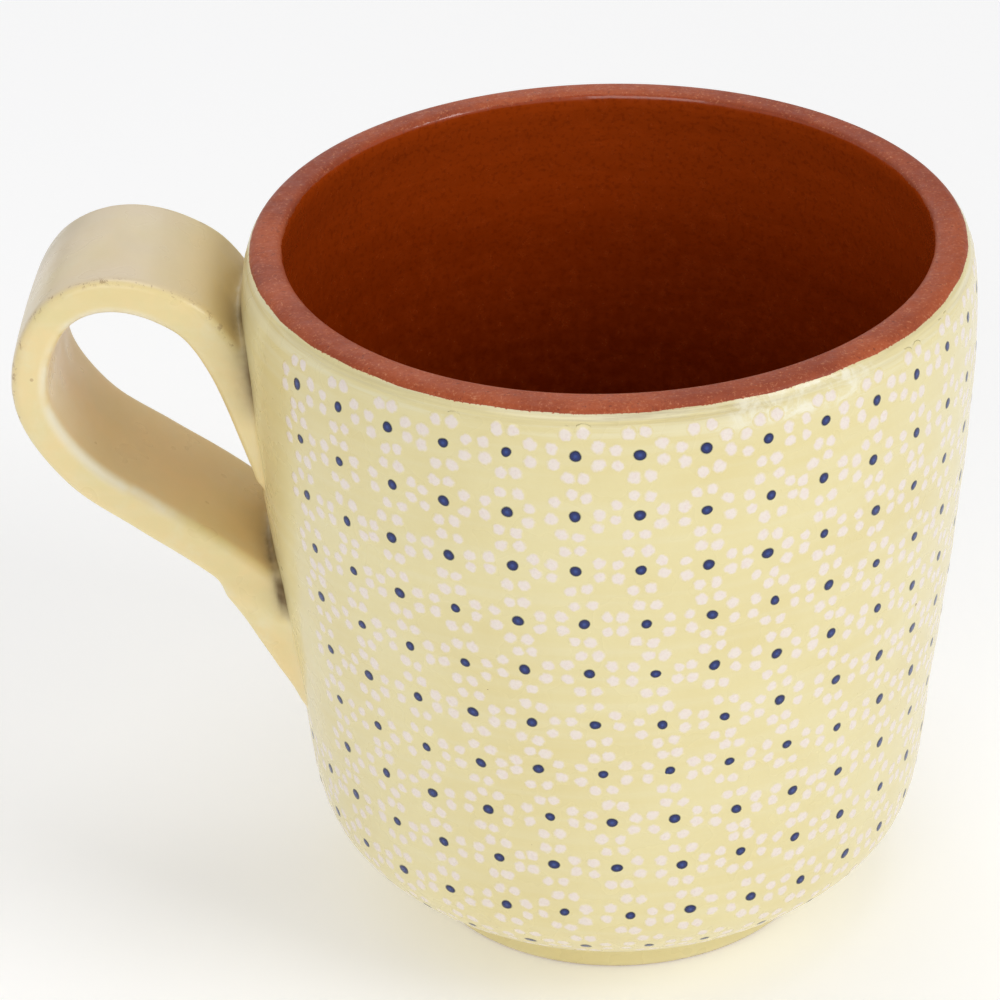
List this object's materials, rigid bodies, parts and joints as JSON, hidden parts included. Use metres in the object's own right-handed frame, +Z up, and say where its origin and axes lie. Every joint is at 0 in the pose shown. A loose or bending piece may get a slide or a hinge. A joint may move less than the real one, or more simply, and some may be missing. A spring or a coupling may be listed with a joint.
{
  "type": "handled mug",
  "caption": "Hand-built earthenware mug with a strap handle, low foot ring, bare clay lip, glazed inside and a cream slip coat patterned with pale and blue dots.",
  "frame": {"origin": "centre of the foot, on the surface that the mug stands on", "axes": "+Z up along the cup's axis, +X away from the handle, so the handle points to -X"},
  "size_m": [0.1208, 0.0925, 0.0937],
  "materials": {
    "red_clay": "fired red earthenware under a thin clear glaze, semi-gloss",
    "yellow_slip": "cream-yellow slip under a clear gloss glaze",
    "interior_glaze": "clear gloss glaze over red clay, deep red-brown",
    "pale_slip": "pinkish white slip dots under clear glaze",
    "blue_slip": "cobalt blue slip dots under clear glaze"
  },
  "bodies": {
    "root": {"clay_cup": "red_clay", "foot_ring": "red_clay", "handle_strap": "red_clay", "upper_handle_lute": "red_clay", "lower_handle_lute": "red_clay", "cup_slip_coat": "yellow_slip", "handle_slip_coat": "yellow_slip", "interior_glaze": "interior_glaze", "pale_dots": "pale_slip", "blue_dots": "blue_slip"}
  },
  "joints": []
}
